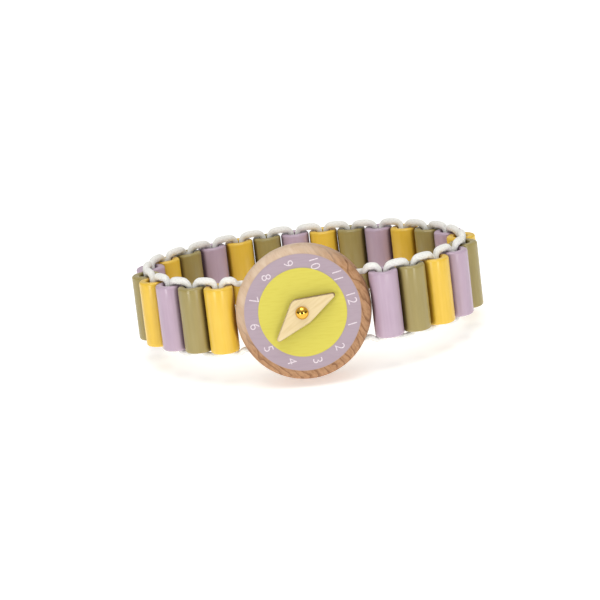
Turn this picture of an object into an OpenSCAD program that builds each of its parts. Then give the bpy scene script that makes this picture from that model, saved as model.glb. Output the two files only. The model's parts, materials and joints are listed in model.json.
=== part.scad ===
// Toy wrist watch: a turned wooden case with a painted dial and one loose hand,
// on a strap of painted wooden tube beads laced side by side with two strands of elastic.
// Millimetres. The watch stands on the lower rim of its case and on the elastic
// behind the strap, with the dial towards -Y and the wrist opening upright.

/* [Beads] */
// Outside diameter of a bead
bead_d = 6; // [5.4:0.1:7]
// Length of a bead, across the strap
bead_len = 14; // [11:0.5:17]
// Rounding of a bead's outer edges and of its hole's mouths
bead_edge_r = 0.5; // [0.3:0.05:0.6]
// Gap between neighbouring beads
bead_gap = 0.25; // [0.2:0.05:0.5]
// Beads on each side of the strap's middle
beads_each_side = 12; // [11:1:13]

/* [Strap] */
// Width of the loop as it stands, between the axes of its outermost beads
loop_w = 68; // [64:0.5:72]
// Gap between the case's rim and the first bead on each side
rim_gap = 0.2; // [0.2:0.05:1]

/* [Elastic] */
// Diameter of one strand
cord_d = 1.2; // [0.8:0.05:1.3]
// Gap between the two strands inside a bead
strand_gap = 0.2; // [0.15:0.05:0.4]
// Clearance between a strand and the wall of a bead's hole
cord_clear = 0.15; // [0.1:0.05:0.3]
// Angle through which a strand bends round the mouth of a bead's hole
mouth_wrap = 80; // [55:1:85]
// Diameter of the knot that closes a strand, hidden in the case
knot_d = 2.2; // [1.8:0.1:2.8]
// Length of the knot
knot_len = 3.5; // [2:0.25:6]

/* [Case] */
// Diameter of the case
case_d = 28; // [25:0.5:32]
// Thickness of the case
case_t = 8; // [7:0.25:10]
// Rounding of the case's edges
case_edge_r = 1.75; // [1:0.25:1.75]
// How far the case leans back from the line of the beads beside it
case_tilt = 10; // [0:1:15]
// How far the elastic's holes lie inside the line of the bead ends
case_hole_inset = 0.1; // [0:0.05:0.8]
// Clearance round the knot in the elastic's hole
knot_clear = 0.15; // [0.1:0.05:0.3]
// Clearance of the knot on its own strand
knot_fit = 0.02; // [0.01:0.01:0.05]

/* [Dial] */
// Diameter of the painted dial
dial_d = 24.2; // [20:0.2:24.4]
// Diameter of the painted centre
centre_d = 18.4; // [15:0.2:19]
// Thickness of a coat of paint
paint_t = 0.1; // [0.05:0.01:0.2]

/* [Hand] */
// Length of the hand between its sharp corners, before they are rounded
hand_len = 17.4; // [14:0.2:18]
// Height of the hand's blunt corner above the pin
hand_rise = 3.4; // [2.6:0.1:4]
// Depth of the hand's lower corner below the pin
hand_drop = 2.6; // [2:0.1:3.5]
// Depth of the hand's tips below the pin
tip_drop = 1.5; // [0.8:0.1:2]
// Thickness of the hand
hand_t = 1.3; // [1:0.1:2]
// Rounding of the tips
tip_r = 0.5; // [0.3:0.05:0.7]
// Rounding of the blunt corner
crown_r = 1.6; // [0.8:0.1:2.5]
// Rounding of the lower corner
heel_r = 0.8; // [0.4:0.1:2]
// Angle of the hand from the strap's line
hand_turn = 34; // [0:1:90]
// Gap between the dial and the hand, and between the hand and the pin's head
hand_gap = 0.25; // [0.2:0.05:0.5]

/* [Pin] */
// Diameter of the pin's shank
pin_d = 1.3; // [1:0.05:1.6]
// Diameter of the pin's domed head
pin_head_d = 2.7; // [2.2:0.1:3.2]
// Height of the pin's domed head
pin_head_h = 0.9; // [0.6:0.05:1.1]
// Depth of the pin in the case
pin_depth = 5; // [3:0.25:6]
// Length of the pin's point
pin_point = 1; // [0.5:0.1:1.5]
// Clearance of the hand on the pin
run_clear = 0.08; // [0.03:0.01:0.1]
// Clearance of the pin in its hole in the case and the paint
pin_fit = 0.02; // [0.01:0.01:0.04]

/* [Hidden] */
// How far a cut runs past the faces that it opens
overrun = 1;
// Facets of a circle, steps along a rounded corner of the hand, and sides and steps of the elastic's bends
$fn = 64;
corner_steps = 8;
cord_sides = 8;
bend_steps = 3;
// Rounds of halving when a place is found by trial
halvings = 40;
// Furthest turn round the loop in which the next bead is looked for
search_turn = 60;

// Colours of the beads, in the order in which they repeat, and of the other pieces
bead_colours = ["#e9c24c", "#a2935c", "#b9a0b3"];
beech = "#d9bc9d";
elastic_white = "#f0f0ea";
dial_lilac = "#c1adb7";
centre_lime = "#e6da5c";
ply = "#ecd6a4";
brass = "#c9a24e";

// Beads
bead_count = 2 * beads_each_side;
bead_r = bead_d / 2;
cord_r = cord_d / 2;
strand_out = (cord_d + strand_gap) / 2;
bead_bore_r = strand_out + cord_r + cord_clear;
bead_wall = bead_r - bead_bore_r;
edge_wall_share = 0.45;
edge_r = min(bead_edge_r, edge_wall_share * bead_wall);
pitch = bead_d + bead_gap;

// Case and dial
case_r = case_d / 2;
end_bead_x = case_r + rim_gap + bead_r;
case_hole_out = bead_len / 2 - case_hole_inset;
case_hole_y = case_hole_out * sin(case_tilt);
case_hole_z = case_hole_out * cos(case_tilt);
case_hole_r = knot_d / 2 + knot_clear;
knot_wall = knot_d / 2 - cord_r - knot_fit;
dial_y = case_t / 2;
centre_y = dial_y + paint_t;
hand_y = centre_y + paint_t + hand_gap;
head_y = hand_y + hand_t + hand_gap;
head_r = pin_head_d / 2;
dome_r = (head_r * head_r + pin_head_h * pin_head_h) / (2 * pin_head_h);

// Elastic: a strand bends round a bead's mouth at a steady clearance, then arches to the next
bend_r = bead_bore_r - strand_out + edge_r;
bend_z = bead_len / 2 - edge_r;
span = pitch - 2 * strand_out;
crown_half = span / 2 - bend_r * (1 - cos(mouth_wrap));
crown_arc_r = crown_half / cos(mouth_wrap);
crown_centre_z = bend_z + (bend_r - crown_arc_r) * sin(mouth_wrap);
crown_z = crown_centre_z + crown_arc_r;
// At the case the strand crosses the end bead's wall and swings down into the case's hole
over_z = bend_z + bend_r;
over_in_x = end_bead_x - bead_bore_r - edge_r;
over_out_x = end_bead_x - bead_r + edge_r;
swing = acos(1 - (over_z - case_hole_z) / (2 * bend_r));
case_run_x = over_out_x - 2 * bend_r * sin(swing);

// The loop: beads stand at equal chords on an oval, counted from its middle at the back,
// and the oval is as deep as it must be for the end beads to meet the case
function oval(turn, depth) = [loop_w / 2 * sin(turn), depth * cos(turn)];
function next_turn(from, depth, low, high, left) =
    let (half = (low + high) / 2)
    left == 0 ? half
    : norm(oval(half, depth) - oval(from, depth)) < pitch
        ? next_turn(from, depth, half, high, left - 1)
        : next_turn(from, depth, low, half, left - 1);
function bead_turn(k, depth) =
    k == 0 ? asin(pitch / loop_w)
    : let (last = bead_turn(k - 1, depth))
      next_turn(last, depth, last, last + search_turn, halvings);
function end_x(depth) = oval(bead_turn(beads_each_side - 1, depth), depth)[0];
function loop_depth(low, high, left) =
    let (half = (low + high) / 2)
    left == 0 ? half
    : end_x(half) < end_bead_x ? loop_depth(half, high, left - 1)
    : loop_depth(low, half, left - 1);
half_depth = loop_depth(0, beads_each_side * pitch, halvings);
half_loop = [for (k = [0 : beads_each_side - 1]) oval(bead_turn(k, half_depth), half_depth)];
// Place of bead i, numbered from the case's left round the back to its right
function bead_at(i) =
    i <= beads_each_side
        ? [-half_loop[beads_each_side - i][0], half_loop[beads_each_side - i][1]]
        : half_loop[i - beads_each_side - 1];
case_y = bead_at(1)[1];
back_y = bead_at(beads_each_side)[1];

// Standing: the lower rim of the case and the arches of elastic at the back touch one floor
rim_out = case_r - case_edge_r;
rim_back = case_t / 2 - case_edge_r;
foot_y = case_y + rim_back * cos(case_tilt) - rim_out * sin(case_tilt);
foot_z = -rim_back * sin(case_tilt) - rim_out * cos(case_tilt);
rim_fall = -foot_z - crown_z;
stand_run = back_y - foot_y;
stand_lean = atan2(rim_fall, stand_run) + asin((case_edge_r - cord_r) / norm([rim_fall, stand_run]));
case_lean = stand_lean + case_tilt;
stand_z = case_edge_r + foot_y * sin(stand_lean) - foot_z * cos(stand_lean);
rim_reach = rim_back * cos(case_lean) + rim_out * sin(case_lean) + case_edge_r;
pin_reach = (head_y + pin_head_h - dome_r) * cos(case_lean) + dome_r;
front_reach = case_y * cos(stand_lean) - max(rim_reach, pin_reach);
back_reach = (back_y + bead_r - edge_r) * cos(stand_lean)
    + (bead_len / 2 - edge_r) * sin(stand_lean) + edge_r;
stand_y = -(front_reach + back_reach) / 2;

function two_digits(i) = str(i < 10 ? "0" : "", i);
function bead_name(i) = str("bead_", two_digits(i));
function elastic_name(i) = str("elastic_", two_digits(i));

// Puts what is drawn about the loop's middle, with its beads upright, into the standing watch
module standing() {
    translate([0, stand_y, stand_z]) rotate([-stand_lean, 0, 0]) children();
}

// Puts what is drawn flat, with its height towards the viewer, on the case's middle plane
module on_case() {
    standing() translate([0, case_y, 0]) rotate([90 - case_tilt, 0, 0]) children();
}

// Rectangle about the origin with rounded corners
module rounded_rectangle(w, h, r) {
    square([w - 2 * r, h], center = true);
    square([w, h - 2 * r], center = true);
    for (sx = [-1, 1]) {
        for (sy = [-1, 1]) translate([sx * (w / 2 - r), sy * (h / 2 - r)]) circle(r);
    }
}

// Places along an arc in the X-Z plane, by its angle above the X axis
function arc(centre, r, from, to) =
    [for (k = [0 : bend_steps]) let (turn = from + (to - from) * k / bend_steps)
        centre + r * [cos(turn), sin(turn)]];
function inner(list) = [for (k = [1 : len(list) - 2]) list[k]];
function without_first(list) = [for (k = [1 : len(list) - 1]) list[k]];
function mirrored_back(list) = [for (k = [len(list) - 1 : -1 : 0]) [-list[k][0], list[k][1]]];
// Places of the X-Z plane, set back to where a leaning case has its hole between in_x and out_x
function set_back(list, y, in_x, out_x) =
    [for (place = list) [place[0], y * max(0, min(1, (out_x - abs(place[0])) / (out_x - in_x))), place[1]]];

// Centre line of the arch over the gap between two beads, from right to left
mouth_bend = arc([span / 2 - bend_r, bend_z], bend_r, 0, mouth_wrap);
crown = arc([0, crown_centre_z], crown_arc_r, mouth_wrap, 180 - mouth_wrap);
arch = set_back(concat(mouth_bend, inner(crown), mirrored_back(mouth_bend)), 0, 0, span);

// Centre line from the right end bead, through the case's upper hole, to the left end bead
case_half = concat(
    arc([over_in_x, bend_z], bend_r, 0, 90),
    arc([over_out_x, bend_z], bend_r, 90, 90 + swing),
    without_first(arc([case_run_x, case_hole_z + bend_r], bend_r, swing - 90, -90))
);
case_run = set_back(concat(case_half, mirrored_back(case_half)), case_hole_y, case_run_x, over_out_x);

// Ring of points round a cord, square to its way past one place
function unit(v) = v / norm(v);
function cord_ring(last, here, next) =
    let (
        way = unit(unit(next - here) + unit(here - last)),
        side = unit(cross([0, 1, 0], way)),
        front = cross(way, side)
    )
    [for (k = [0 : cord_sides - 1]) let (turn = 360 * k / cord_sides)
        here + cord_r * (cos(turn) * side + sin(turn) * front)];

// Closed loop of cord: the run above, the same run turned below, and straight legs between them
module cord_loop(run) {
    path = concat(run, -run);
    count = len(path);
    points = [for (k = [0 : count - 1])
        each cord_ring(path[(k + count - 1) % count], path[k], path[(k + 1) % count])];
    faces = [for (k = [0 : count - 1]) for (s = [0 : cord_sides - 1])
        let (
            here = k * cord_sides,
            next = (k + 1) % count * cord_sides,
            turned = (s + 1) % cord_sides
        )
        each [[here + s, here + turned, next + turned], [here + s, next + turned, next + s]]];
    polyhedron(points, faces);
}

// Rounded corner of an outline at b, between its neighbours a and c, for an outline that runs anticlockwise
function rounded_corner(a, b, c, r) =
    let (
        half = acos(unit(a - b) * unit(c - b)) / 2,
        centre = b + unit(unit(a - b) + unit(c - b)) * r / sin(half),
        first = b + unit(a - b) * r / tan(half) - centre,
        start = atan2(first[1], first[0]),
        sweep = 180 - 2 * half
    )
    [for (k = [0 : corner_steps]) centre + r * [cos(start + sweep * k / corner_steps),
                                                sin(start + sweep * k / corner_steps)]];

// Round wooden case with its edges rounded, bored for the elastic and for the pin
module case() {
    color(beech) on_case() difference() {
        rotate_extrude() intersection() {
            rounded_rectangle(case_d, case_t, case_edge_r);
            translate([0, -case_t / 2]) square([case_r, case_t]);
        }
        for (sy = [-1, 1]) {
            translate([0, sy * case_hole_out, 0])
                rotate([0, 90, 0]) cylinder(r = case_hole_r, h = case_d + overrun, center = true);
        }
        translate([0, 0, dial_y - pin_depth - pin_point])
            cylinder(r = pin_d / 2 + pin_fit, h = pin_depth + pin_point + overrun);
    }
}

// Coat of paint with the pin's hole in it
module coat(d, y) {
    on_case() translate([0, 0, y]) difference() {
        cylinder(d = d, h = paint_t);
        translate([0, 0, -overrun]) cylinder(r = pin_d / 2 + pin_fit, h = paint_t + 2 * overrun);
    }
}

module dial_paint() {
    color(dial_lilac) coat(dial_d, dial_y);
}

module centre_paint() {
    color(centre_lime) coat(centre_d, centre_y);
}

// Four-cornered hand of thin ply, loose on its pin
module hand() {
    right = [hand_len / 2, -tip_drop];
    top = [0, hand_rise];
    left = [-hand_len / 2, -tip_drop];
    bottom = [0, -hand_drop];
    outline = concat(
        rounded_corner(bottom, right, top, tip_r),
        rounded_corner(right, top, left, crown_r),
        rounded_corner(top, left, bottom, tip_r),
        rounded_corner(left, bottom, right, heel_r)
    );
    color(ply) on_case() translate([0, 0, hand_y]) rotate([0, 0, hand_turn]) difference() {
        linear_extrude(hand_t) polygon(outline);
        translate([0, 0, -overrun]) cylinder(r = pin_d / 2 + run_clear, h = hand_t + 2 * overrun);
    }
}

// Brass pin with a domed head, driven into the case through the hand
module pin() {
    color(brass) on_case() {
        translate([0, 0, head_y]) rotate_extrude() intersection() {
            translate([0, pin_head_h - dome_r]) circle(dome_r);
            square([head_r, pin_head_h]);
        }
        translate([0, 0, dial_y - pin_depth]) cylinder(d = pin_d, h = head_y - dial_y + pin_depth);
        translate([0, 0, dial_y - pin_depth - pin_point]) cylinder(d1 = 0, d2 = pin_d, h = pin_point);
    }
}

// Elastic through both holes of the case and the two end beads
module elastic_case() {
    color(elastic_white) standing() translate([0, case_y, 0]) cord_loop(case_run);
}

// Knots that close the two strands, one in each hole of the case
module elastic_knots() {
    color(elastic_white) on_case() for (sy = [-1, 1]) {
        translate([0, sy * case_hole_out, 0]) rotate([0, 90, 0]) rotate_extrude() {
            translate([knot_d / 2 - knot_wall / 2, 0])
                rounded_rectangle(knot_wall, knot_len, edge_wall_share * knot_wall);
        }
    }
}

// Tube bead with rounded edges
module bead(i) {
    color(bead_colours[(i - 1) % len(bead_colours)]) standing() translate(concat(bead_at(i), 0)) {
        rotate_extrude() translate([bead_bore_r + bead_wall / 2, 0])
            rounded_rectangle(bead_wall, bead_len, edge_r);
    }
}

// Elastic that links bead i to the next: an arch above, an arch below and a leg through each
module elastic(i) {
    reach = bead_at(i + 1) - bead_at(i);
    color(elastic_white) standing() translate(concat((bead_at(i) + bead_at(i + 1)) / 2, 0)) {
        rotate([0, 0, atan2(reach[1], reach[0])]) cord_loop(arch);
    }
}

case();
dial_paint();
centre_paint();
hand();
pin();
elastic_case();
elastic_knots();
for (i = [1 : bead_count]) {
    bead(i);
}
for (i = [1 : bead_count - 1]) {
    elastic(i);
}
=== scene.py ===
"""Toy wrist watch: a beech case with a painted dial and a ply hand, on a strap of painted beads."""

import json
import logging
import math
import random
from dataclasses import dataclass, field
from enum import Enum

import bmesh
import bpy
from mathutils import Matrix, Vector


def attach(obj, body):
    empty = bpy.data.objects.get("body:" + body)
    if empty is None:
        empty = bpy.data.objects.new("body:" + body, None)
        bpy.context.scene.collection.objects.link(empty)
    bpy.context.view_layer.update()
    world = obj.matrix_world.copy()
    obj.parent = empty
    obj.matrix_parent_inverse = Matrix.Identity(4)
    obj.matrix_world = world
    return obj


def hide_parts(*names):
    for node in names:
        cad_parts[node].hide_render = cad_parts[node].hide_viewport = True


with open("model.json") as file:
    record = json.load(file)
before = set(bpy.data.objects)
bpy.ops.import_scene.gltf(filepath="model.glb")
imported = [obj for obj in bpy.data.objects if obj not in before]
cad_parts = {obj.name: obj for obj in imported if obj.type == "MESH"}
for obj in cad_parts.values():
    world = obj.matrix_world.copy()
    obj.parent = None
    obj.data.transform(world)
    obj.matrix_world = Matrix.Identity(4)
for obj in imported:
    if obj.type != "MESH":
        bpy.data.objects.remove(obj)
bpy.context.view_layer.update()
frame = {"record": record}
log = logging.getLogger("toy_watch")

MM = 0.001
TURN = 2.0 * math.pi
ACROSS = Vector((1.0, 0.0, 0.0)).freeze()
LOCAL = "piece_mm"
NODE_PREFIXES = ("ShaderNode", "GeometryNode", "Node")
# Sockets of a node that mixes two colours, which have no names of their own.
SHARE, FIRST, SECOND = 0, 6, 7

Node = bpy.types.Node
Socket = bpy.types.NodeSocket
Material = bpy.types.Material
Mesh = bpy.types.Mesh
Piece = bpy.types.Object
Shape = bmesh.types.BMesh
Inputs = dict | list
Labels = tuple[str, ...]
Stops = list[tuple[float, str]]
Triple = tuple[float, float, float]
Profile = list[tuple[float, float]]


def linear(hex_colour: str) -> tuple[float, float, float, float]:
    """Turn an sRGB hex colour into a linear colour.

    Args:
        hex_colour: Six hex digits after a hash.

    Returns:
        Red, green, blue and an alpha of one.
    """
    parts = [int(hex_colour[k:k + 2], 16) / 255.0 for k in (1, 3, 5)]
    light = [c / 12.92 if c <= 0.04045 else ((c + 0.055) / 1.055) ** 2.4 for c in parts]
    return light[0], light[1], light[2], 1.0


@dataclass
class Nodes:
    """The nodes of one tree."""

    tree: bpy.types.NodeTree

    def feed(self, node: Node, inputs: Inputs) -> None:
        """Fill or link the inputs of a node.

        Args:
            node: The node.
            inputs: Values, output sockets, or nodes for their first output; in order or by socket.
        """
        for key, value in inputs.items() if isinstance(inputs, dict) else enumerate(inputs):
            if isinstance(value, Node):
                value = next(output for output in value.outputs if not output.is_unavailable)
            if isinstance(value, Socket):
                self.tree.links.new(value, node.inputs[key])
            else:
                node.inputs[key].default_value = value

    def add(self, kind: str, inputs: Inputs | None = None, stops: Stops | None = None, **settings) -> Node:
        """Add a node, set its properties and fill or link its inputs.

        Args:
            kind: Blender's name for the node's type, without its prefix.
            inputs: Its inputs, as feed takes them.
            stops: Places from 0 to 1 with their hex colours, in order, where it is a colour ramp.
            **settings: Properties of the node.

        Returns:
            The new node.
        """
        prefix = next(start for start in NODE_PREFIXES if hasattr(bpy.types, start + kind))
        node = self.tree.nodes.new(prefix + kind)
        for name, value in settings.items():
            setattr(node, name, value)
        self.feed(node, inputs or [])
        for k, (place, hex_colour) in enumerate(stops or []):
            elements = node.color_ramp.elements
            element = elements[k] if k < len(elements) else elements.new(place)
            element.position = place
            element.color = linear(hex_colour)
        return node

    def local_mm(self, size: Triple = (1.0, 1.0, 1.0)) -> Node:
        """Give a piece's own coordinates, counted in a pattern's millimetres along each axis."""
        place = self.add("Attribute", attribute_name=LOCAL)
        return self.add("VectorMath", [place.outputs["Vector"], size], operation="DIVIDE")

    def braid(self, along: Socket, around: Socket, pitch: Socket | float, starts: Socket | float) -> Node:
        """Give the height of a braid of threads that wind both ways, for a finish or for a shape.

        Args:
            along: Length along the cord in millimetres.
            around: Share of a turn round it.
            pitch: Length of a thread's wave in millimetres.
            starts: Threads each way.

        Returns:
            A node that gives the height, from -1 to 1.
        """
        laid = self.add("Math", [along, pitch], operation="DIVIDE")
        wound = self.add("Math", [around, starts], operation="MULTIPLY")
        waves = []
        for way in ("ADD", "SUBTRACT"):
            phase = self.add("Math", [laid, wound], operation=way)
            angle = self.add("Math", [phase, TURN], operation="MULTIPLY")
            waves.append(self.add("Math", [angle], operation="SINE"))
        return self.add("Math", waves, operation="MAXIMUM")

    def surface(self, inputs: Inputs, height: Node | None = None, depth_mm: float = 0.0) -> None:
        """Fill the surface shader of a material.

        Args:
            inputs: Its inputs, as feed takes them.
            height: Pattern from 0 to 1 that roughens it, if any.
            depth_mm: Height of that pattern in millimetres.
        """
        shader = self.tree.nodes["Principled BSDF"]
        self.feed(shader, inputs)
        if height:
            self.feed(shader, {"Normal": self.add("Bump", {"Height": height, "Distance": depth_mm * MM})})


def new_material(name: str) -> tuple[Material, Nodes]:
    """Make a material that has only its surface shader.

    Args:
        name: The material's name.

    Returns:
        The material and its nodes.
    """
    material = bpy.data.materials.new(name)
    material.use_nodes = True
    return material, Nodes(material.node_tree)


@dataclass(frozen=True)
class BeechFinish:
    """Bare beech, turned and sanded, with its grain along X."""

    long_light: str = "#dac2a9"
    long_dark: str = "#cdb093"
    end_light: str = "#ba8e68"
    end_dark: str = "#a47853"
    ring_line: str = "#704529"
    fleck: str = "#b98a64"
    band_mm: Triple = (14.17, 1.7, 1.7)
    fleck_mm: Triple = (1.8, 0.22, 1.8)
    pore_mm: Triple = (1.5, 0.45, 1.286)
    drift_mm: Triple = (5.0, 4.0, 2.5)
    ring_mm: float = 1.7
    ring_sway: float = 2.6
    fleck_strength: float = 0.3
    line_strength: float = 0.65
    depth_mm: float = 0.05
    roughness: float = 0.62
    specular: float = 0.35

    def material(self) -> Material:
        """Build the material.

        Returns:
            The material.
        """
        material, nodes = new_material("beech, turned and sanded")
        # Along the grain the eye sees soft pinkish bands, with short darker flecks across them.
        bands = nodes.add("TexNoise", {
            "Vector": nodes.local_mm(self.band_mm), "Scale": 1.0, "Detail": 3.0, "Roughness": 0.55,
            "Distortion": 0.6})
        long_grain = nodes.add("ValToRGB", [bands], [(0.32, self.long_dark), (0.62, self.long_light)])
        cells = nodes.add("TexVoronoi", {"Vector": nodes.local_mm(self.fleck_mm), "Scale": 1.0})
        fleck_share = nodes.add("MapRange", {
            "Value": cells, "From Min": 0.1, "From Max": 0.34, "To Min": self.fleck_strength, "To Max": 0.0})
        flecked = nodes.add("Mix", {
            SHARE: fleck_share, FIRST: long_grain, SECOND: linear(self.fleck)}, data_type="RGBA")
        # Where the grain ends, the rim is browner, with open pores and a dark line for each year.
        pores = nodes.add("TexNoise", {
            "Vector": nodes.local_mm(self.pore_mm), "Scale": 1.0, "Detail": 4.0, "Roughness": 0.65})
        pored = nodes.add("ValToRGB", [pores], [(0.36, self.end_dark), (0.56, self.end_light)])
        drift = nodes.add("TexNoise", {"Vector": nodes.local_mm(self.drift_mm), "Scale": 1.0, "Detail": 2.0})
        axes = nodes.add("SeparateXYZ", [nodes.local_mm()])
        across = nodes.add("Math", [axes.outputs["Y"], self.ring_mm], operation="DIVIDE")
        years = nodes.add("Math", [drift, self.ring_sway, across], operation="MULTIPLY_ADD")
        year = nodes.add("Math", [years], operation="FRACT")
        line_share = nodes.add("MapRange", {
            "Value": year, "From Min": 0.06, "From Max": 0.3, "To Min": self.line_strength, "To Max": 0.0})
        end_grain = nodes.add("Mix", {
            SHARE: line_share, FIRST: pored, SECOND: linear(self.ring_line)}, data_type="RGBA")
        # Painted shade: the case marks one side of its rim only, so this darker end grain also stands in for
        # shade on that side.
        end_and_shade_share = nodes.add("Attribute", attribute_name="end_grain").outputs["Fac"]
        wood = nodes.add("Mix", {SHARE: end_and_shade_share, FIRST: flecked, SECOND: end_grain}, data_type="RGBA")
        nodes.surface({"Base Color": wood, "Roughness": self.roughness,
                       "Specular IOR Level": self.specular}, pores, self.depth_mm)
        return material


@dataclass(frozen=True)
class BeadPaintFinish:
    """Thin satin paint on turned beech, with the grain along Z."""

    name: str
    colour: str
    shade: str
    glow: str
    crevice: str
    crevice_mm: float = 1.3
    crevice_samples: int = 8
    crevice_strength: float = 0.85
    streak_mm: Triple = (0.55, 0.55, 9.167)
    cloud_mm: Triple = (3.5, 3.5, 7.0)
    depth_mm: float = 0.005
    glossiest: float = 0.16
    dullest: float = 0.28
    specular: float = 0.5

    def material(self) -> Material:
        """Build the material.

        Returns:
            The material.
        """
        material, nodes = new_material(f"{self.name} paint on beech")
        # The eye sees an even satin colour, with faint streaks of the grain along the bead.
        streaks = nodes.add("TexNoise", {
            "Vector": nodes.local_mm(self.streak_mm), "Scale": 1.0, "Detail": 3.0, "Roughness": 0.6})
        clouds = nodes.add("TexNoise", {"Vector": nodes.local_mm(self.cloud_mm), "Scale": 1.0, "Detail": 2.0})
        both = nodes.add("Math", [streaks, clouds], operation="ADD")
        mean = nodes.add("Math", [both, 0.5], operation="MULTIPLY")
        paint = nodes.add("ValToRGB", [mean], [(0.34, self.shade), (0.5, self.colour), (0.68, self.glow)])
        # Painted shade: where beads nearly touch, the colour darkens as if shade fell in those gaps.
        reach = {"Distance": self.crevice_mm * MM}
        near = nodes.add("AmbientOcclusion", reach, samples=self.crevice_samples)
        shade_share = nodes.add("MapRange", {
            "Value": near.outputs["AO"], "From Min": 0.4, "From Max": 0.85,
            "To Min": self.crevice_strength, "To Max": 0.0})
        shaded_paint = nodes.add("Mix", {
            SHARE: shade_share, FIRST: paint, SECOND: linear(self.crevice)}, data_type="RGBA")
        gloss = nodes.add("MapRange", {"Value": clouds, "To Min": self.glossiest, "To Max": self.dullest})
        nodes.surface({"Base Color": shaded_paint, "Roughness": gloss,
                       "Specular IOR Level": self.specular}, streaks, self.depth_mm)
        return material


@dataclass(frozen=True)
class DialPaintFinish:
    """Matt paint, screen-printed on sanded wood."""

    name: str
    colour: str
    shade: str
    tooth_mm: Triple = (2.917, 0.35, 0.35)
    depth_mm: float = 0.012
    roughness: float = 0.55
    specular: float = 0.4

    def material(self) -> Material:
        """Build the material.

        Returns:
            The material.
        """
        material, nodes = new_material(f"{self.name} print on beech")
        # The eye sees a flat colour, with the wood's fine tooth in its gloss.
        place = nodes.add("TexCoord").outputs["Object"]
        grain = nodes.add("VectorMath", [place, [size * MM for size in self.tooth_mm]], operation="DIVIDE")
        tooth = nodes.add("TexNoise", {"Vector": grain, "Scale": 1.0, "Detail": 3.0})
        paint = nodes.add("ValToRGB", [tooth], [(0.3, self.shade), (0.55, self.colour)])
        nodes.surface({"Base Color": paint, "Roughness": self.roughness,
                       "Specular IOR Level": self.specular}, tooth, self.depth_mm)
        return material


@dataclass(frozen=True)
class PlyFinish:
    """Birch ply, cut by laser, with its grain along X."""

    face_light: str = "#e8d2a5"
    face_dark: str = "#e0c896"
    burnt: str = "#4d331a"
    singed: str = "#7d5a30"
    grain_mm: Triple = (5.0, 0.4, 0.4)
    depth_mm: float = 0.02
    roughness: float = 0.6
    specular: float = 0.3

    def material(self) -> Material:
        """Build the material.

        Returns:
            The material.
        """
        material, nodes = new_material("birch ply, laser cut")
        # The eye sees a creamy face with fine long grain, and edges that the cut burnt dark brown.
        grain = nodes.add("TexNoise", {
            "Vector": nodes.local_mm(self.grain_mm), "Scale": 1.0, "Detail": 3.0, "Roughness": 0.6})
        face = nodes.add("ValToRGB", [grain], [(0.33, self.face_dark), (0.6, self.face_light)])
        edge = nodes.add("ValToRGB", [grain], [(0.35, self.burnt), (0.7, self.singed)])
        edge_share = nodes.add("Attribute", attribute_name="cut_edge").outputs["Fac"]
        wood = nodes.add("Mix", {SHARE: edge_share, FIRST: face, SECOND: edge}, data_type="RGBA")
        nodes.surface({"Base Color": wood, "Roughness": self.roughness,
                       "Specular IOR Level": self.specular}, grain, self.depth_mm)
        return material


@dataclass(frozen=True)
class BrassFinish:
    """Polished brass."""

    bright: str = "#e8b84e"
    tarnish: str = "#d9a53c"
    mark_mm: Triple = (0.24, 0.24, 0.24)
    polished: float = 0.11
    handled: float = 0.17

    def material(self) -> Material:
        """Build the material.

        Returns:
            The material.
        """
        material, nodes = new_material("brass, polished")
        # The eye sees a warm mirror that small marks and a little tarnish make uneven.
        marks = nodes.add("TexNoise", {"Vector": nodes.local_mm(self.mark_mm), "Scale": 1.0, "Detail": 2.0})
        metal = nodes.add("ValToRGB", [marks], [(0.3, self.tarnish), (0.5, self.bright)])
        gloss = nodes.add("MapRange", {"Value": marks, "To Min": self.polished, "To Max": self.handled})
        nodes.surface({"Base Color": metal, "Metallic": 1.0, "Roughness": gloss})
        return material


@dataclass(frozen=True)
class ElasticFinish:
    """Round elastic with a braided white cover."""

    thread: str = "#f4f3ee"
    between: str = "#eae8e3"
    braid_mm: float = 0.9
    braid_starts: float = 5.0
    depth_mm: float = 0.012
    roughness: float = 0.78
    specular: float = 0.3

    def material(self) -> Material:
        """Build the material.

        Returns:
            The material.
        """
        material, nodes = new_material("elastic, white braided cover")
        # The eye sees soft matt threads, with a little grey between them.
        # The braid is coarser than a real one, so that it shows.
        axes = nodes.add("SeparateXYZ", [nodes.local_mm()])
        braid = nodes.braid(axes.outputs["X"], axes.outputs["Y"], self.braid_mm, self.braid_starts)
        cover = nodes.add("MapRange", {"Value": braid, "From Min": -1.0, "From Max": 0.6})
        colour = nodes.add("ValToRGB", [cover], [(0.0, self.between), (0.7, self.thread)])
        nodes.surface({"Base Color": colour, "Roughness": self.roughness,
                       "Specular IOR Level": self.specular}, cover, self.depth_mm)
        return material


@dataclass(frozen=True)
class NumberPaintFinish:
    """Thin white print over lilac."""

    colour: str = "#e9dfe4"
    thin: str = "#d8c7d0"
    speck_mm: Triple = (0.25, 0.25, 0.25)
    roughness: float = 0.6

    def material(self) -> Material:
        """Build the material.

        Returns:
            The material.
        """
        material, nodes = new_material("white number print")
        # The print doesn't quite cover, so the eye sees a warm, speckled pale grey.
        specks = nodes.add("TexNoise", {"Vector": nodes.local_mm(self.speck_mm), "Scale": 1.0, "Detail": 2.0})
        ink = nodes.add("ValToRGB", [specks], [(0.35, self.thin), (0.55, self.colour)])
        nodes.surface({"Base Color": ink, "Roughness": self.roughness})
        return material


@dataclass(frozen=True)
class FloorFinish:
    """Seamless white studio paper, lit a little from below so that it stays white."""

    colour: str = "#fbfbfa"
    glow: float = 0.42
    roughness: float = 0.9

    def material(self) -> Material:
        """Build the material.

        Returns:
            The material.
        """
        material, nodes = new_material("studio paper, white")
        white = linear(self.colour)
        nodes.surface({"Base Color": white, "Emission Color": white, "Emission Strength": self.glow,
                       "Roughness": self.roughness})
        return material


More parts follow.
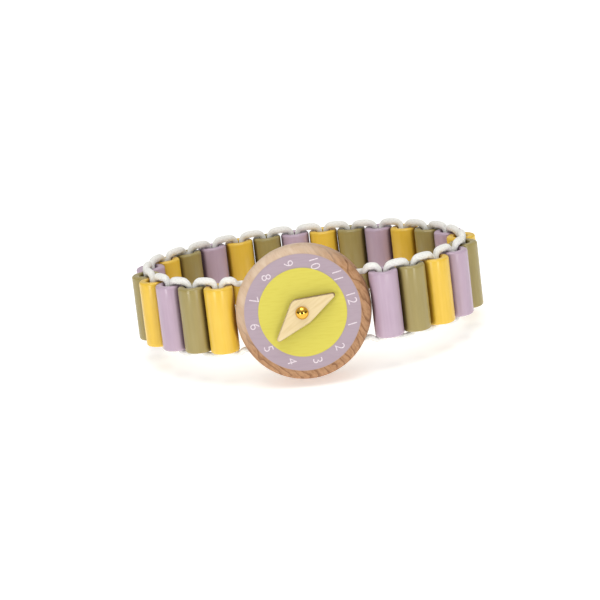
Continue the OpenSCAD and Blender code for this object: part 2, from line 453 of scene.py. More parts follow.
class BeadColour(Enum):
    """Paints of the beads, in the order in which they repeat from the case's left."""

    # The last colour of each paint is its painted shade where beads nearly touch.
    YELLOW = BeadPaintFinish("yellow", "#eec445", "#eabf3e", "#f0c84d", "#8f5f12")
    OLIVE = BeadPaintFinish("olive", "#a3935a", "#9e8e55", "#a7975f", "#54431c")
    LILAC = BeadPaintFinish("lilac", "#bfa7ba", "#baa2b5", "#c3acbe", "#66505a")

    @classmethod
    def of_bead(cls, number: int) -> "BeadColour":
        """Give the paint of a bead by its number, from 1."""
        return list(cls)[(number - 1) % len(cls)]


@dataclass
class WatchFrame:
    """Places of the watch that its CAD frame gives: the beads' axes, the loop's lean and the case's tilt."""

    record: dict
    beads: dict[int, Vector] = field(default_factory=dict)

    def __post_init__(self) -> None:
        """Read the hinges of the record."""
        joints = {joint["name"]: joint for joint in self.record["behaviour"]["joints"]}
        for name, joint in joints.items():
            if name.startswith("bead_"):
                self.beads[int(name.split("_")[1])] = Vector(joint["pos_m"])
        self.count = max(self.beads)
        self.middle = self.count // 2
        mirrored = self.beads[self.middle]
        self.beads[self.middle + 1] = Vector((-mirrored.x, mirrored.y, mirrored.z))
        self.up = Vector(joints["bead_01_turn"]["axis"]).normalized()
        front = Vector(joints["hand_turn"]["axis"]).normalized()
        self.tilt = math.pi / 2.0 - self.up.angle(front)

    def turned(self, place: Vector, along: Vector = ACROSS) -> Matrix:
        """Give a frame at a place, with Z along the beads' axes and X along a direction."""
        turn = Matrix((along, self.up.cross(along), self.up)).transposed().to_4x4()
        return Matrix.Translation(place) @ turn

    def gap(self, number: int) -> Matrix:
        """Give the middle between a bead and the next, with X towards the next."""
        here, there = self.beads[number], self.beads[number + 1]
        return self.turned((here + there) / 2.0, (there - here).normalized())

    def case(self) -> Matrix:
        """Give the middle of the case in the strap's own axes."""
        return self.turned((self.beads[1] + self.beads[self.count]) / 2.0)

    def face(self, height: float = 0.0, turn: float = 0.0) -> Matrix:
        """Give the middle of the case with Z out of the dial.

        Args:
            height: Millimetres by which it is raised.
            turn: Degrees by which it is turned about Z.

        Returns:
            The frame's matrix.
        """
        lean = Matrix.Rotation(math.pi / 2.0 - self.tilt, 4, "X")
        raised = Matrix.Translation((0.0, 0.0, height * MM))
        return self.case() @ lean @ raised @ Matrix.Rotation(math.radians(turn), 4, "Z")

    def loop_middle(self) -> Vector:
        """Give the middle of the loop, from the beads beside the case and those at the back."""
        ends_and_shade = (1, self.count, self.middle, self.middle + 1)
        return sum((self.beads[number] for number in ends_and_shade), Vector()) / len(ends_and_shade)

    def body_of_bead(self, number: int) -> str:
        """Give the body that carries a bead."""
        return f"link_{self.middle + 2:02d}" if number == self.middle + 1 else f"link_{number:02d}"

    def body_of_gap(self, number: int) -> str:
        """Give the body that carries the elastic after a bead."""
        return f"link_{number:02d}" if number <= self.middle else f"link_{number + 1:02d}"


def arc_points(centre: tuple[float, float], radius: float, start: float, stop: float, steps: int) -> Profile:
    """Give points along an arc.

    Args:
        centre: Middle of the arc.
        radius: Its radius.
        start: First angle in degrees.
        stop: Last angle in degrees.
        steps: Steps along it.

    Returns:
        The points, both ends among them.
    """
    angles = [math.radians(start + (stop - start) * k / steps) for k in range(steps + 1)]
    return [(centre[0] + radius * math.cos(a), centre[1] + radius * math.sin(a)) for a in angles]


def lathe(profile: Profile, steps: int, closed: bool = False) -> Shape:
    """Turn a profile about Z.

    Args:
        profile: Radius and height of its points in millimetres.
        steps: Steps round the turn.
        closed: Whether the last point joins the first, as on a tube.

    Returns:
        A shape in millimetres with its faces outwards.
    """
    shape = bmesh.new()
    rings = []
    for radius, height in profile:
        circle = arc_points((0.0, 0.0), radius, 0.0, 360.0, steps)[:-1] if radius else [(0.0, 0.0)]
        rings.append([shape.verts.new((x, y, height)) for x, y in circle])
    pairs = list(zip(rings, rings[1:])) + ([(rings[-1], rings[0])] if closed else [])
    for low, high in pairs:
        for k in range(steps):
            after = (k + 1) % steps
            corners = [low[k % len(low)], low[after % len(low)], high[after % len(high)], high[k % len(high)]]
            shape.faces.new(list(dict.fromkeys(corners)))
    bmesh.ops.recalc_face_normals(shape, faces=shape.faces[:])
    return shape


def add_object(name: str, data: bpy.types.ID) -> Piece:
    """Add an object to the scene.

    Args:
        name: Its name.
        data: Its mesh, curve, light or camera.

    Returns:
        The object.
    """
    holder = bpy.data.objects.new(name, data)
    bpy.context.scene.collection.objects.link(holder)
    return holder


def as_mesh(name: str, shape: Shape) -> Mesh:
    """Turn a shape, which is freed, into a mesh.

    Args:
        name: The mesh's name.
        shape: The shape.

    Returns:
        The mesh.
    """
    mesh = bpy.data.meshes.new(name)
    shape.to_mesh(mesh)
    shape.free()
    return mesh


def add_mesh(shape: Shape, mesh: Mesh) -> Shape:
    """Add a mesh, which is removed, to a shape.

    Args:
        shape: Shape that gets it.
        mesh: The mesh.

    Returns:
        The same shape.
    """
    shape.from_mesh(mesh)
    bpy.data.meshes.remove(mesh)
    return shape


def taken(holder: Piece) -> Mesh:
    """Turn an object with its modifiers into a plain mesh, and remove the object.

    Args:
        holder: The object.

    Returns:
        The mesh.
    """
    bpy.context.view_layer.update()
    mesh = bpy.data.meshes.new_from_object(holder.evaluated_get(bpy.context.evaluated_depsgraph_get()))
    bpy.data.objects.remove(holder)
    return mesh


def finished(name: str, shape: Shape, place: Matrix, material: Material, sharp: float | None = None) -> Piece:
    """Turn a shape in millimetres into a piece whose place is in its mesh.

    Args:
        name: The piece's name.
        shape: Its shape, which is freed.
        place: Where it goes.
        material: Its finish.
        sharp: Angle in degrees from which its edges stay sharp, if any do; 0 for flat faces.

    Returns:
        The piece, which keeps its own millimetres for its finish.
    """
    mesh = as_mesh(name, shape)
    places = mesh.attributes.new(LOCAL, "FLOAT_VECTOR", "POINT")
    for item, vertex in zip(places.data, mesh.vertices):
        item.vector = vertex.co
    mesh.transform(place @ Matrix.Scale(MM, 4))
    mesh.materials.append(material)
    mesh.polygons.foreach_set("use_smooth", [sharp != 0.0] * len(mesh.polygons))
    if sharp:
        mesh.set_sharp_from_angle(angle=math.radians(sharp))
    return add_object(name, mesh)


def node_group(name: str, sizes: Labels, counts: Labels, path: Labels = ()) -> Nodes:
    """Start a tree of geometry nodes with named inputs and a finish.

    Args:
        name: The tree's name.
        sizes: Names of its lengths and other plain numbers.
        counts: Names of its whole numbers.
        path: Name of the path that it works on, if any.

    Returns:
        The tree's nodes.
    """
    tree = bpy.data.node_groups.new(name, "GeometryNodeTree")
    for kind, labels in (("Geometry", path), ("Float", sizes), ("Int", counts), ("Material", ("Finish",))):
        for label in labels:
            tree.interface.new_socket(label, in_out="INPUT", socket_type=f"NodeSocket{kind}")
    tree.interface.new_socket("Piece", in_out="OUTPUT", socket_type="NodeSocketGeometry")
    return Nodes(tree)


def end_group(nodes: Nodes, mesh: Node, pattern: Node, finish: Socket) -> None:
    """End a tree: keep the pattern's coordinates, shade smooth, realize and set the material.

    Args:
        nodes: The tree's nodes.
        mesh: Node that gives its shape in millimetres.
        pattern: Node that gives the finish's coordinates in millimetres.
        finish: The material.
    """
    mapped = nodes.add("StoreNamedAttribute", {"Geometry": mesh, "Name": LOCAL, "Value": pattern},
                       data_type="FLOAT_VECTOR", domain="POINT")
    smooth = nodes.add("SetShadeSmooth", {"Geometry": mapped})
    whole = nodes.add("RealizeInstances", {"Geometry": smooth})
    dressed = nodes.add("SetMaterial", {"Geometry": whole, "Material": finish})
    nodes.add("GroupOutput", {"Piece": dressed})


def grown(name: str, nodes: Nodes, maker: object, values: dict, place: Matrix,
          path: Mesh | None = None) -> Piece:
    """Run a tree of geometry nodes and turn its result into a plain mesh.

    Args:
        name: The piece's name.
        nodes: The tree's nodes.
        maker: Sub-assembly whose own sizes are the inputs with the same names.
        values: The other inputs by name.
        place: Where the piece goes.
        path: Path that the tree works on, in millimetres, if any.

    Returns:
        The piece, with its place in its mesh.
    """
    holder = add_object("holder", path or bpy.data.meshes.new(name))
    modifier = holder.modifiers.new("nodes", "NODES")
    modifier.node_group = nodes.tree
    for item in nodes.tree.interface.items_tree:
        if item.in_out == "INPUT" and item.socket_type != "NodeSocketGeometry":
            own = getattr(maker, item.name.lower().replace(" ", "_"), None)
            modifier[item.identifier] = values.get(item.name, own)
    mesh = taken(holder)
    shape = bmesh.new()
    shape.from_mesh(mesh)
    bmesh.ops.recalc_face_normals(shape, faces=shape.faces[:])
    shape.to_mesh(mesh)
    shape.free()
    mesh.name = name
    mesh.transform(place @ Matrix.Scale(MM, 4))
    return add_object(name, mesh)


def settle(piece: Piece, body: str, slot: str, *nodes: str) -> None:
    """Seat a piece on its body and hide the solids that it stands for.

    Args:
        piece: The piece.
        body: Body that carries it.
        slot: Material slot of the record; not used.
        *nodes: Solids that it replaces.
    """
    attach(piece, body)
    if nodes:
        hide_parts(*nodes)
    log.info("%s on %s, %d faces", piece.name, body, len(piece.data.polygons))


@dataclass
class Case:
    """Turned beech case with the elastic's two holes."""

    across: float = 28.0
    thick: float = 8.0
    edge: float = 1.75
    border: float = 0.25
    hole: float = 2.5
    hole_height: float = 6.9
    drill_length: float = 30.8
    steps: int = 160
    corner_steps: int = 10
    hole_steps: int = 40
    grain_turn: float = -58.0
    # Side of the rim that is darkened, as end grain and as painted shade.
    dark_turn: float = -52.0
    dark_spread: float = 0.8
    dark_fade: float = 0.7
    rim_slack: float = 0.01
    sharp: float = 40.0

    def disc(self) -> Shape:
        """Turn the disc about Z, with rounded edges.

        Returns:
            The disc in millimetres about its middle.
        """
        half, flat = self.thick / 2.0, self.across / 2.0 - self.edge
        profile = [(0.0, -half), (flat - self.border, -half)]
        profile += arc_points((flat, self.edge - half), self.edge, -90.0, 0.0, self.corner_steps)
        profile += arc_points((flat, half - self.edge), self.edge, 0.0, 90.0, self.corner_steps)
        profile += [(flat - self.border, half), (0.0, half)]
        return lathe(profile, self.steps)

    def holes(self) -> list[Matrix]:
        """Give the places of the lower and the upper hole, with Z along them."""
        along = Matrix.Rotation(math.pi / 2.0, 4, "Y")
        return [Matrix.Translation((0.0, side * self.hole_height, 0.0)) @ along for side in (-1.0, 1.0)]

    def bored(self) -> Shape:
        """Cut the elastic's holes through the disc.

        Returns:
            The case in millimetres about its middle.
        """
        rods = bmesh.new()
        radius = self.hole / 2.0
        for place in self.holes():
            bmesh.ops.create_cone(rods, cap_ends=True, segments=self.hole_steps, radius1=radius,
                                  radius2=radius, depth=self.drill_length, matrix=place)
        drill = add_object("case_drill", as_mesh("case_drill", rods))
        blank = add_object("case_blank", as_mesh("case_blank", self.disc()))
        cut = blank.modifiers.new("holes", "BOOLEAN")
        cut.object = drill
        cut.operation = "DIFFERENCE"
        cut.solver = "EXACT"
        shape = add_mesh(bmesh.new(), taken(blank))
        bpy.data.objects.remove(drill)
        return shape

    def shape(self) -> Shape:
        """Bore the case, mark one side of its rim as end grain and painted shade, and lay X along the grain.

        Returns:
            The case in millimetres about its middle.
        """
        shape = self.bored()
        # Painted shade: only the lower right of the rim is marked, though end grain also shows opposite, so
        # that side is darker as if in shade.
        dark = Matrix.Rotation(math.radians(self.dark_turn), 3, "Z") @ ACROSS
        rim = self.across / 2.0 - self.edge - self.rim_slack
        ends_and_shade = shape.verts.layers.float.new("end_grain")
        for vertex in shape.verts:
            outward = Vector((vertex.co.x, vertex.co.y, 0.0))
            share = (outward.normalized().dot(dark) + self.dark_spread) / self.dark_fade
            vertex[ends_and_shade] = min(1.0, max(0.0, share)) if outward.length > rim else 0.0
        turn = Matrix.Rotation(math.radians(-self.grain_turn), 4, "Z")
        bmesh.ops.transform(shape, matrix=turn, verts=shape.verts[:])
        return shape

    def build(self, watch: WatchFrame, material: Material) -> None:
        """Make the case and seat it."""
        piece = finished("beech_case", self.shape(), watch.face(turn=self.grain_turn), material, self.sharp)
        settle(piece, "case", "beech", "case")


@dataclass
class Dial:
    """Painted dial: the two coats of the CAD frame, dressed, and the ring of numbers."""

    turn: float = 11.0
    ring: float = 10.45
    number_height: float = 2.0
    capital_share: float = 0.7
    face_height: float = 4.1
    print_depth: float = 0.02
    thinning: float = 0.025
    curve_steps: int = 6
    hours: int = 12
    weld: float = 1e-4

    def numbers(self) -> Shape:
        """Set the hours round the ring, all upright with twelve at the top.

        Returns:
            The numbers in millimetres, Z out of the dial.
        """
        whole = bmesh.new()
        ring = arc_points((0.0, 0.0), self.ring, 90.0, -270.0, self.hours)[1:]
        for hour, (x, y) in enumerate(ring, start=1):
            words = bpy.data.curves.new(f"hour_{hour}", "FONT")
            words.body = str(hour)
            words.align_x = "CENTER"
            words.align_y = "CENTER"
            words.size = self.number_height / self.capital_share
            words.extrude = self.print_depth
            words.offset = -self.thinning
            words.resolution_u = self.curve_steps
            mesh = taken(add_object(f"hour_{hour}", words))
            mesh.transform(Matrix.Translation((x, y, 0.0)))
            add_mesh(whole, mesh)
        bmesh.ops.remove_doubles(whole, verts=whole.verts[:], dist=self.weld)
        return whole

    def build(self, watch: WatchFrame, ring: Material, centre: Material, ink: Material) -> None:
        """Dress the two coats and print the numbers.

        Args:
            watch: Places of the watch.
            ring: Finish of the dial.
            centre: Finish of its middle.
            ink: Finish of the numbers.
        """
        for node, material in (("dial_paint", ring), ("centre_paint", centre)):
            slots = bpy.data.objects[node].data.materials
            slots.clear()
            slots.append(material)
        place = watch.face(self.face_height + self.print_depth, self.turn - 90.0)
        piece = finished("dial_numbers", self.numbers(), place, ink, sharp=0.0)
        settle(piece, "case", "lilac_dial_paint")


@dataclass
class Hand:
    """Laser-cut ply hand, loose on its pin."""

    length: float = 17.4
    rise: float = 3.4
    drop: float = 2.6
    tip_drop: float = 1.5
    thick: float = 1.3
    tip_r: float = 0.5
    crown_r: float = 1.6
    heel_r: float = 0.8
    turn: float = 34.0
    height: float = 4.45
    bore: float = 1.46
    ease: float = 0.06
    ease_steps: int = 2
    singe: float = 0.15
    singe_mean: float = 0.6
    singe_spread: float = 0.7
    singe_least: float = 0.1
    face_normal: float = 0.99
    edge_normal: float = 0.75
    corner_steps: int = 14
    bore_steps: int = 40
    sharp: float = 35.0
    weld: float = 1e-4

    def corner(self, before: Vector, here: Vector, after: Vector, radius: float) -> Profile:
        """Round one corner of the outline, which runs anticlockwise.

        Args:
            before: The corner before.
            here: The corner.
            after: The corner after.
            radius: Its rounding.

        Returns:
            Points along the rounding.
        """
        back, on = (before - here).normalized(), (after - here).normalized()
        half = back.angle(on) / 2.0
        centre = here + (back + on).normalized() * radius / math.sin(half)
        first = here + back * radius / math.tan(half) - centre
        start = math.degrees(math.atan2(first.y, first.x))
        return arc_points(centre, radius, start, start + 180.0 - math.degrees(2.0 * half), self.corner_steps)

    def outline(self) -> Profile:
        """Give the hand's outline about its pin.

        Returns:
            Its points in millimetres.
        """
        right, left = (Vector((side * self.length / 2.0, -self.tip_drop)) for side in (1.0, -1.0))
        top, bottom = Vector((0.0, self.rise)), Vector((0.0, -self.drop))
        return (self.corner(bottom, right, top, self.tip_r) + self.corner(right, top, left, self.crown_r)
                + self.corner(top, left, bottom, self.tip_r) + self.corner(left, bottom, right, self.heel_r))

    def shape(self) -> Shape:
        """Cut the hand from its sheet, with its arrises eased.

        Returns:
            The hand in millimetres, flat, with its back at zero.
        """
        curve = bpy.data.curves.new("hand_outline", "CURVE")
        curve.dimensions = "2D"
        curve.fill_mode = "BOTH"
        hole = arc_points((0.0, 0.0), self.bore / 2.0, 0.0, 360.0, self.bore_steps)[:-1]
        for ring in (self.outline(), hole):
            spline = curve.splines.new("POLY")
            spline.points.add(len(ring) - 1)
            for point, (x, y) in zip(spline.points, ring):
                point.co = (x, y, 0.0, 1.0)
            spline.use_cyclic_u = True
        curve.extrude = self.thick / 2.0 - self.ease
        curve.bevel_depth = self.ease
        curve.offset = -self.ease
        curve.bevel_resolution = self.ease_steps
        shape = add_mesh(bmesh.new(), taken(add_object("hand_outline", curve)))
        bmesh.ops.remove_doubles(shape, verts=shape.verts[:], dist=self.weld)
        bmesh.ops.translate(shape, verts=shape.verts[:], vec=(0.0, 0.0, self.thick / 2.0))
        bmesh.ops.recalc_face_normals(shape, faces=shape.faces[:])
        self.burn(shape)
        return shape

    def burn(self, shape: Shape) -> None:
        """Mark the cut edges, and a narrow singed line on the face where the smoke blew over it.

        Args:
            shape: The hand, flat and with its face along Z.
        """
        cut = shape.faces.layers.float.new("cut_edge")
        front = [face for face in shape.faces if face.normal.z > self.face_normal]
        line = bmesh.ops.inset_region(shape, faces=front, thickness=self.singe, use_even_offset=True)["faces"]
        for face in shape.faces:
            face[cut] = 1.0 if abs(face.normal.z) < self.edge_normal else 0.0
        for face in line:
            x, y, _ = face.calc_center_median()
            blown = self.singe_mean + self.singe_spread * x / self.length
            face[cut] = blown if y > -self.tip_drop else self.singe_least

    def build(self, watch: WatchFrame, material: Material) -> None:
        """Make the hand and seat it on its own body."""
        piece = finished("ply_hand", self.shape(), watch.face(self.height, self.turn), material, self.sharp)
        settle(piece, "hand", "ply", "hand")


@dataclass
class Pin:
    """Brass pin with a domed head."""

    head: float = 2.7
    head_height: float = 0.9
    shank: float = 1.3
    under_head: float = 6.0
    depth: float = 5.0
    point: float = 1.0
    dial_height: float = 4.0
    steps: int = 64
    dome_steps: int = 20
    sharp: float = 40.0

    def shape(self) -> Shape:
        """Turn the pin about Z.

        Returns:
            The pin in millimetres from the middle of the case.
        """
        dome = ((self.head / 2.0) ** 2 + self.head_height ** 2) / (2.0 * self.head_height)
        lift = self.under_head + self.head_height - dome
        widest = math.degrees(math.asin((self.under_head - lift) / dome))
        foot = self.dial_height - self.depth
        profile = [(0.0, foot - self.point), (self.shank / 2.0, foot), (self.shank / 2.0, self.under_head)]
        profile += arc_points((0.0, lift), dome, widest, 90.0, self.dome_steps)[:-1]
        profile += [(0.0, self.under_head + self.head_height)]
        return lathe(profile, self.steps)

    def build(self, watch: WatchFrame, material: Material) -> None:
        """Make the pin and seat it in the case."""
        piece = finished("brass_pin", self.shape(), watch.face(), material, self.sharp)
        settle(piece, "case", "brass", "pin")


@dataclass
class Beads:
    """Painted tube beads, all turned by one tree of nodes, each a little uneven as dipped wood is."""

    outer: float = 6.0
    bore: float = 2.9
    length: float = 14.0
    edge: float = 0.5
    coat: float = 0.06
    waver: float = 0.03
    waver_length: float = 4.5
    steps: int = 72
    corner_steps: int = 6
    rows: int = 3
    pattern_shift: Triple = (17.3, 5.1, 23.9)

    def nodes(self) -> Nodes:
        """Build the nodes that turn a rounded section into a bead under its coat of paint.

        Returns:
            The nodes of a tree with the bead's sizes, its seed and its finish as named inputs.
        """
        sizes = ("Outer", "Bore", "Length", "Edge", "Coat", "Waver", "Waver Length")
        nodes = node_group("painted_bead", sizes, ("Steps", "Corner Steps", "Rows", "Seed"))
        given = nodes.add("GroupInput").outputs
        wide = nodes.add("Math", [given["Outer"], 0.5, given["Coat"]], operation="MULTIPLY_ADD")
        narrow = nodes.add("Math", [given["Bore"], 0.5], operation="MULTIPLY")
        wall = nodes.add("Math", [wide, narrow], operation="SUBTRACT")
        middle = nodes.add("Math", [wall, 0.5, narrow], operation="MULTIPLY_ADD")
        way = nodes.add("CurvePrimitiveCircle", {
            "Resolution": given["Steps"], "Radius": middle}, mode="RADIUS")
        section = nodes.add("CurvePrimitiveQuadrilateral", {
            "Width": wall, "Height": given["Length"]}, mode="RECTANGLE")
        rounded = nodes.add("FilletCurve", {
            "Curve": section, "Count": given["Corner Steps"], "Radius": given["Edge"]}, mode="POLY")
        fine = nodes.add("SubdivideCurve", {"Curve": rounded, "Cuts": given["Rows"]})
        tube = nodes.add("CurveToMesh", {"Curve": way, "Profile Curve": fine})
        # The paint wavers on the outside alone, so the mouths stay clear of the elastic.
        spot = nodes.add("InputPosition")
        level = nodes.add("VectorMath", [spot, (1.0, 1.0, 0.0)], operation="MULTIPLY")
        radius = nodes.add("VectorMath", [level], operation="LENGTH")
        outward = nodes.add("VectorMath", [level], operation="NORMALIZE")
        painted = nodes.add("MapRange", {"Value": radius, "From Min": middle, "From Max": wide})
        pace = nodes.add("Math", [1.0, given["Waver Length"]], operation="DIVIDE")
        noise = nodes.add("TexNoise", {
            "Vector": spot, "W": given["Seed"], "Scale": pace, "Detail": 1.0}, noise_dimensions="4D")
        ripple = nodes.add("MapRange", {
            "Value": noise, "From Min": 0.25, "From Max": 0.75, "To Min": -1.0, "To Max": 1.0})
        depth = nodes.add("Math", [ripple, given["Waver"]], operation="MULTIPLY")
        lift = nodes.add("Math", [depth, painted], operation="MULTIPLY")
        offset = nodes.add("VectorMath", {0: outward, "Scale": lift}, operation="SCALE")
        moved = nodes.add("SetPosition", {"Geometry": tube, "Offset": offset})
        # Each bead takes its own stretch of the paint's pattern.
        shift = nodes.add("VectorMath", {0: self.pattern_shift, "Scale": given["Seed"]}, operation="SCALE")
        pattern = nodes.add("VectorMath", [spot, shift], operation="ADD")
        end_group(nodes, moved, pattern, given["Finish"])
        return nodes

    def build(self, watch: WatchFrame, paints: dict[BeadColour, Material]) -> None:
        """Make the beads and seat each on its own body.

        Args:
            watch: Places of the watch.
            paints: Material of each paint.
        """
        nodes = self.nodes()
        for number, place in sorted(watch.beads.items()):
            colour = BeadColour.of_bead(number)
            values = {"Seed": number, "Finish": paints[colour]}
            piece = grown(f"painted_bead_{number:02d}", nodes, self, values, watch.turned(place))
            settle(piece, watch.body_of_bead(number), f"{colour.value.name}_bead_paint", f"bead_{number:02d}")


@dataclass
class Elastic:
    """White round elastic, laced through the beads and the case."""

    beads: Beads
    case: Case
    finish: ElasticFinish
    cord_radius: float = 0.6
    strand_out: float = 0.7
    pitch: float = 6.25
    wrap: float = 80.0
    end_bead_x: float = 17.2
    bend_steps: int = 8
    swell: float = 0.3
    sway: float = 0.28
    step: float = 0.16
    sides: int = 14
    braid_relief: float = 0.014

    @property
    def bend(self) -> float:
        """Radius at which a strand goes round the mouth of a bead's hole."""
        return self.beads.bore / 2.0 - self.strand_out + self.beads.edge

    @property
    def mouth(self) -> float:
        """Height at which a strand starts to bend."""
        return self.beads.length / 2.0 - self.beads.edge

    def arch(self) -> list[Vector]:
        """Give the centre line over a gap, from the next bead back to this one.

        Returns:
            Its points in millimetres.
        """
        reach = self.pitch / 2.0 - self.strand_out
        wrap = math.radians(self.wrap)
        crown = (reach - self.bend * (1.0 - math.cos(wrap))) / math.cos(wrap)
        centre = self.mouth + (self.bend - crown) * math.sin(wrap)
        side = arc_points((reach - self.bend, self.mouth), self.bend, 0.0, self.wrap, self.bend_steps)
        top = arc_points((0.0, centre), crown, self.wrap, 180.0 - self.wrap, 2 * self.bend_steps)[1:-1]
        return [Vector((x, 0.0, z)) for x, z in side + top + [(-x, z) for x, z in reversed(side)]]

    def case_run(self, tilt: float) -> list[Vector]:
        """Give the centre line from the right end bead through the case's upper hole to the left one.

        Args:
            tilt: Angle by which the case leans back, in radians.

        Returns:
            Its points in millimetres.
        """
        back, hole = self.case.hole_height * math.sin(tilt), self.case.hole_height * math.cos(tilt)
        inner = self.end_bead_x - self.beads.bore / 2.0 - self.beads.edge
        outer = self.end_bead_x - self.beads.outer / 2.0 + self.beads.edge
        swing = math.degrees(math.acos(1.0 - (self.mouth + self.bend - hole) / (2.0 * self.bend)))
        run = outer - 2.0 * self.bend * math.sin(math.radians(swing))
        half = arc_points((inner, self.mouth), self.bend, 0.0, 90.0, self.bend_steps)
        half += arc_points((outer, self.mouth), self.bend, 90.0, 90.0 + swing, self.bend_steps)
        half += arc_points((run, hole + self.bend), self.bend, swing - 90.0, -90.0, self.bend_steps)[1:]
        whole = half + [(-x, z) for x, z in reversed(half)]
        return [Vector((x, back * max(0.0, min(1.0, (outer - abs(x)) / (outer - run))), z)) for x, z in whole]

    def path(self, run: list[Vector], seed: int) -> Mesh:
        """Make the closed centre line as a loop of edges, thicker where the elastic arches free above.

        Args:
            run: Centre line above; the one below is the same run, turned over.
            seed: Seed of the sway that loose elastic has.

        Returns:
            A mesh of edges only, in millimetres.
        """
        draw = random.Random(seed)
        sways = {1.0: draw.uniform(-1.0, 1.0), -1.0: draw.uniform(-1.0, 1.0)}
        points = []
        thickness = []
        for place in run + [-place for place in run]:
            swell = self.swell * min(1.0, max(0.0, place.z - self.mouth) / self.bend) ** 2
            aside = sways[math.copysign(1.0, place.z)] * self.sway * max(0.0, abs(place.z) - self.mouth)
            points.append(place + Vector((0.0, aside, swell * self.cord_radius)))
            thickness.append(1.0 + swell)
        mesh = bpy.data.meshes.new("elastic_path")
        mesh.from_pydata(points, [(k, (k + 1) % len(points)) for k in range(len(points))], [])
        mesh.attributes.new("thickness", "FLOAT", "POINT").data.foreach_set("value", thickness)
        return mesh

    def nodes(self) -> Nodes:
        """Build the nodes that lay a braided cord along a path.

        Returns:
            The nodes of a tree with the cord's sizes and finish as named inputs.
        """
        sizes = ("Cord Radius", "Step", "Braid Length", "Braid Starts", "Braid Relief")
        nodes = node_group("braided_cord", sizes, ("Sides",), ("Path",))
        given = nodes.add("GroupInput").outputs
        line = nodes.add("MeshToCurve", {"Mesh": given["Path"]})
        even = nodes.add("ResampleCurve", {"Curve": line, "Length": given["Step"]}, mode="LENGTH")
        circle = nodes.add("CurvePrimitiveCircle", {
            "Resolution": given["Sides"], "Radius": given["Cord Radius"]}, mode="RADIUS")
        # Both curves keep how far along them a point is, because the tube's own points don't know it.
        marked = {}
        for name, curve, measure in (("along", even, "Length"), ("around", circle, "Factor")):
            way = nodes.add("SplineParameter").outputs[measure]
            marked[name] = nodes.add("StoreNamedAttribute", {"Geometry": curve, "Name": name, "Value": way},
                                     data_type="FLOAT", domain="POINT")
        thickness, along, around = (
            nodes.add("InputNamedAttribute", {"Name": name}, data_type="FLOAT").outputs["Attribute"]
            for name in ("thickness", "along", "around"))
        tube = nodes.add("CurveToMesh", {
            "Curve": marked["along"], "Profile Curve": marked["around"], "Scale": thickness})
        braid = nodes.braid(along, around, given["Braid Length"], given["Braid Starts"])
        sunk = nodes.add("Math", [braid, 1.0], operation="SUBTRACT")
        height = nodes.add("Math", [sunk, given["Braid Relief"]], operation="MULTIPLY")
        offset = nodes.add("VectorMath", {0: nodes.add("InputNormal"), "Scale": height}, operation="SCALE")
        moved = nodes.add("SetPosition", {"Geometry": tube, "Offset": offset})
        end_group(nodes, moved, nodes.add("CombineXYZ", [along, around]), given["Finish"])
        return nodes

    def build(self, watch: WatchFrame, material: Material) -> None:
        """Lace the whole strap.

        Args:
            watch: Places of the watch.
            material: Finish of the elastic.
        """
        nodes = self.nodes()
        values = {"Braid Length": self.finish.braid_mm, "Braid Starts": self.finish.braid_starts,
                  "Finish": material}
        for number in range(1, watch.count):
            path = self.path(self.arch(), number)
            piece = grown(f"elastic_link_{number:02d}", nodes, self, values, watch.gap(number), path)
            settle(piece, watch.body_of_gap(number), "white_elastic", f"elastic_{number:02d}")
        path = self.path(self.case_run(watch.tilt), 0)
        piece = grown("elastic_through_case", nodes, self, values, watch.case(), path)
        settle(piece, "case", "white_elastic", "elastic_case")


@dataclass
class Knots:
    """Two tight knots that close the strands, hidden in the case's holes."""

    case: Case
    across: float = 2.2
    strand: float = 1.24
    length: float = 3.5
    turns: int = 3
    depth: float = 0.12
    bluntness: int = 6
    steps: int = 32
    rows: int = 24

    def shape(self) -> Shape:
        """Wind both knots, each a barrel of a few turns of cord.

        Returns:
            The knots in millimetres, along X and at both holes.
        """
        core, end = self.strand / 2.0, self.length / 2.0
        profile = [(core, end - self.depth), (core, self.depth - end)]
        for k in range(self.rows + 1):
            along = k / self.rows
            swell = math.sqrt(max(0.0, 1.0 - (2.0 * along - 1.0) ** self.bluntness))
            wound = self.depth * abs(math.cos(math.pi * self.turns * along))
            profile.append((core + (self.across / 2.0 - core - wound) * swell, (along - 0.5) * self.length))
        both = bmesh.new()
        for place in self.case.holes():
            knot = lathe(profile, self.steps, closed=True)
            bmesh.ops.transform(knot, matrix=place, verts=knot.verts[:])
            add_mesh(both, as_mesh("knot", knot))
        return both

    def build(self, watch: WatchFrame, material: Material) -> None:
        """Make the knots and seat them in the case."""
        piece = finished("elastic_knot_pair", self.shape(), watch.face(), material)
        settle(piece, "case", "white_elastic", "elastic_knots")


@dataclass(frozen=True)
class SoftBox:
    """One soft light: its place and size in metres, and its power in watts."""

    name: str
    place: Triple
    size: tuple[float, float]
    watts: float

    def hang(self, target: Vector) -> None:
        """Hang the light so that it faces a target.

        Args:
            target: Where it points.
        """
        lamp = bpy.data.lights.new(self.name, "AREA")
        lamp.shape = "RECTANGLE"
        lamp.size, lamp.size_y = self.size
        lamp.energy = self.watts
        holder = add_object(self.name, lamp)
        holder.location = self.place
        holder.rotation_euler = (target - Vector(self.place)).to_track_quat("-Z", "Y").to_euler()


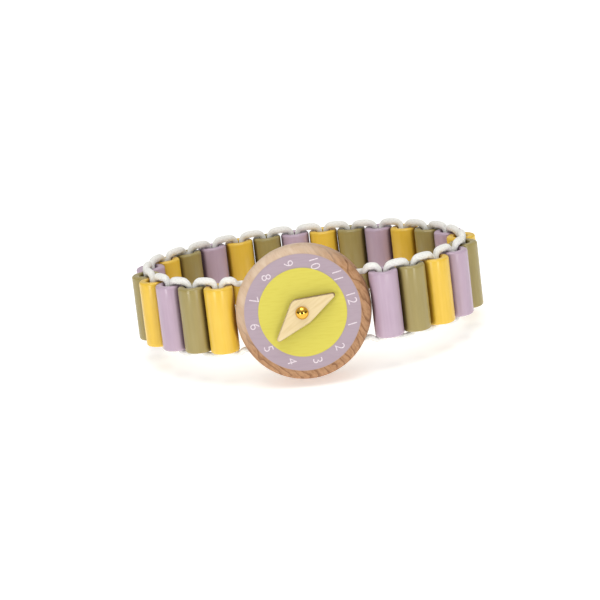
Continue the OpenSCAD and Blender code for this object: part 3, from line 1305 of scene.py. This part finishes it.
@dataclass
class Studio:
    """White paper, soft lights and the camera."""

    elevation: float = 22.1
    yaw: float = -4.5
    roll: float = 7.5
    distance: float = 0.7
    sensor: float = 36.0
    nearest: float = 0.01
    frame_px: float = 600.0
    px_per_mm: float = 4.68
    middle_px: tuple[float, float] = (308.2, 285.5)
    paper_reach: float = 3.0
    room_strength: float = 0.6
    room_lean: float = 0.35
    walls: tuple[tuple[float, str], ...] = ((0.0, "#4a4846"), (0.2, "#8c8a88"), (0.55, "#f4f4f2"))
    # The two strips hang low, so that they show as soft lines down the beads.
    lights: tuple[SoftBox, ...] = (
        SoftBox("strip_left", (-0.34, -0.6, 0.15), (0.12, 0.3), 1.14),
        SoftBox("strip_right", (0.34, -0.6, 0.15), (0.12, 0.3), 1.0),
        SoftBox("top", (0.0, -0.05, 0.7), (0.5, 0.5), 2.2))

    def camera(self, target: Vector) -> None:
        """Aim a long lens so that the loop's middle falls where the photograph has it.

        Args:
            target: Middle of the loop.
        """
        elevation, yaw = math.radians(self.elevation), math.radians(self.yaw)
        level = math.cos(elevation)
        ahead = Vector((math.sin(yaw) * level, math.cos(yaw) * level, -math.sin(elevation)))
        right = ahead.cross(Vector((0.0, 0.0, 1.0))).normalized()
        right = Matrix.Rotation(math.radians(self.roll), 3, ahead) @ right
        up = right.cross(ahead)
        px = MM / self.px_per_mm
        aside, above = (self.frame_px / 2.0 - place for place in self.middle_px)
        aim = target + right * aside * px - up * above * px
        lens = bpy.data.cameras.new("camera")
        lens.sensor_width = lens.sensor_height = self.sensor
        lens.lens = self.sensor * self.distance / (self.frame_px * px)
        lens.clip_start = self.nearest
        camera = add_object("camera", lens)
        turned = Matrix((right, up, -ahead)).transposed().to_4x4()
        camera.matrix_world = Matrix.Translation(aim - ahead * self.distance) @ turned
        bpy.context.scene.camera = camera

    def floor(self, material: Material) -> None:
        """Lay the paper.

        Args:
            material: Finish of the paper.
        """
        mesh = bpy.data.meshes.new("paper")
        corners = ((-1.0, -1.0), (1.0, -1.0), (1.0, 1.0), (-1.0, 1.0))
        places = [(x * self.paper_reach, y * self.paper_reach, 0.0) for x, y in corners]
        mesh.from_pydata(places, [], [(0, 1, 2, 3)])
        mesh.materials.append(material)
        add_object("paper", mesh)

    def room(self) -> None:
        """Surround the watch with a pale room, dark low down so that polished metal has something to show."""
        world = bpy.data.worlds.new("studio")
        world.use_nodes = True
        nodes = Nodes(world.node_tree)
        axes = nodes.add("SeparateXYZ", [nodes.add("TexCoord").outputs["Generated"]]).outputs
        height = nodes.add("Math", [axes["Y"], self.room_lean, axes["Z"]], operation="MULTIPLY_ADD")
        walls = nodes.add("ValToRGB", [height], list(self.walls))
        nodes.feed(nodes.tree.nodes["Background"], {"Color": walls, "Strength": self.room_strength})
        bpy.context.scene.world = world

    def build(self, target: Vector, paper: Material) -> None:
        """Set the studio.

        Args:
            target: Middle of the loop.
            paper: Finish of the floor.
        """
        self.camera(target)
        self.floor(paper)
        self.room()
        for light in self.lights:
            light.hang(target)
        bpy.context.scene.view_settings.view_transform = "Standard"


def main() -> None:
    """Build the watch, dress it and set the studio."""
    logging.basicConfig(level=logging.INFO, format="%(name)s: %(message)s")
    watch = WatchFrame(frame["record"])
    case, beads = Case(), Beads()
    elastic = Elastic(beads, case, ElasticFinish())
    cord = elastic.finish.material()
    lilac = DialPaintFinish("lilac", "#b29faa", "#ad9aa5")
    lime = DialPaintFinish("lime", "#dace57", "#d6c951")
    case.build(watch, BeechFinish().material())
    Dial().build(watch, lilac.material(), lime.material(), NumberPaintFinish().material())
    Hand().build(watch, PlyFinish().material())
    Pin().build(watch, BrassFinish().material())
    elastic.build(watch, cord)
    beads.build(watch, {colour: colour.value.material() for colour in BeadColour})
    Knots(case).build(watch, cord)
    Studio().build(watch.loop_middle(), FloorFinish().material())


if __name__ == "__main__":
    main()
